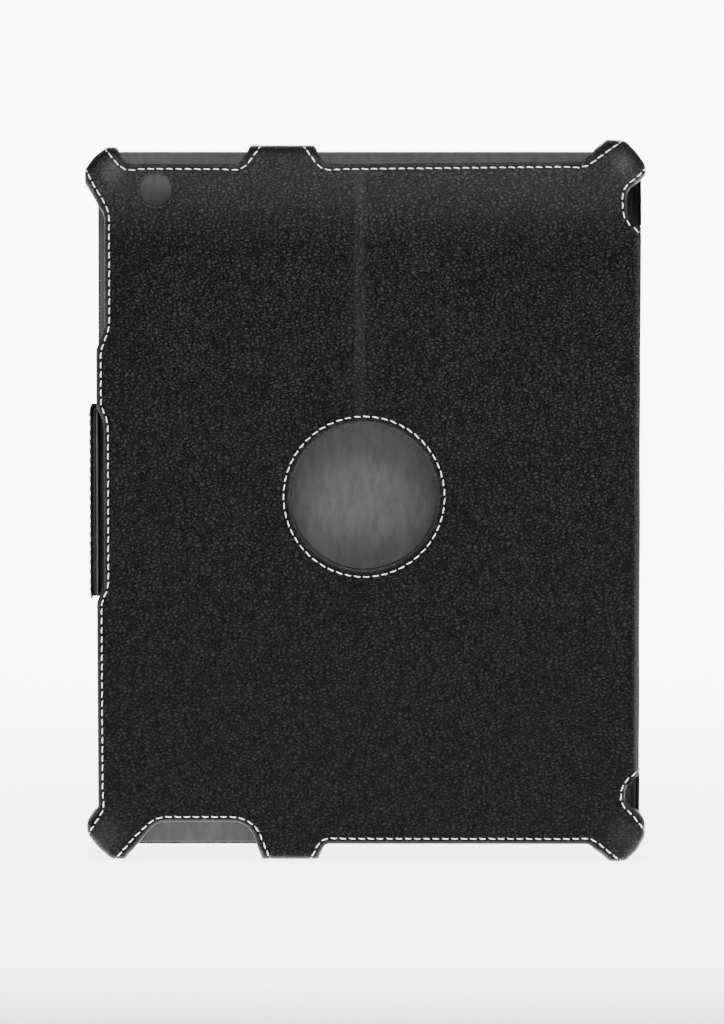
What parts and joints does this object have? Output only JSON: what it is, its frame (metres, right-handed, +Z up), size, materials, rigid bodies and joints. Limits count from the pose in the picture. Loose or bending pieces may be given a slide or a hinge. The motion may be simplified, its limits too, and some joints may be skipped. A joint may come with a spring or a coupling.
{
  "type": "tablet case",
  "caption": "Fitted leather folio case for a flat tablet: corner cups, round window, side flap closure, hinged front cover and a back that folds into a stand.",
  "frame": {"origin": "middle of the closed case's bounding box, on the surface that it stands on", "axes": "+Z up along the long side, +X across the back towards the spine, -Y out of the back's leather and +Y out of the front cover"},
  "size_m": [0.1944, 0.0192, 0.251],
  "materials": {
    "leather": "black pebble-grain leather with a soft sheen",
    "lining": "grey microfibre with a short nap",
    "board": "matt pressed stiffener board",
    "moulding": "matt moulded plastic",
    "steel": "plated steel",
    "thread": "off-white waxed sewing thread"
  },
  "bodies": {
    "far_half": {"far_back_leather": "leather", "far_back_board": "board", "far_back_lining": "lining", "far_top_corner": "moulding", "far_bottom_corner": "moulding", "top_tab_core": "moulding", "bottom_tab_core": "moulding", "catch_strip": "steel"},
    "spine_half": {"spine_side_back_leather": "leather", "spine_side_back_board": "board", "spine_side_back_lining": "lining", "spine_top_corner": "moulding", "spine_bottom_corner": "moulding"},
    "spine": {"spine_leather": "leather", "spine_lining": "lining"},
    "cover": {"cover_leather": "leather", "cover_board": "board", "cover_lining": "lining"},
    "closure": {"closure_leather": "leather", "closure_stiffener": "board", "closure_lining": "lining", "closure_magnet_upper": "steel", "closure_magnet_lower": "steel"}
  },
  "joints": [
    {"name": "back_fold", "type": "hinge", "parent": "far_half", "child": "spine_half", "pos_m": [-0.0023, -0.0096, 0.1251], "axis": [0, 0, -1], "range_deg": [0, 120]},
    {"name": "spine_fold", "type": "hinge", "parent": "spine_half", "child": "spine", "pos_m": [0.09455, -0.0091, 0.1251], "axis": [0, 0, -1], "range_deg": [0, 135]},
    {"name": "cover_fold", "type": "hinge", "parent": "spine", "child": "cover", "pos_m": [0.09455, 0.0091, 0.1251], "axis": [0, 0, -1], "range_deg": [0, 135]},
    {"name": "closure_fold", "type": "hinge", "parent": "cover", "child": "closure", "pos_m": [-0.09535, 0.0091, 0.1251], "axis": [0, 0, -1], "range_deg": [0, 150]}
  ]
}
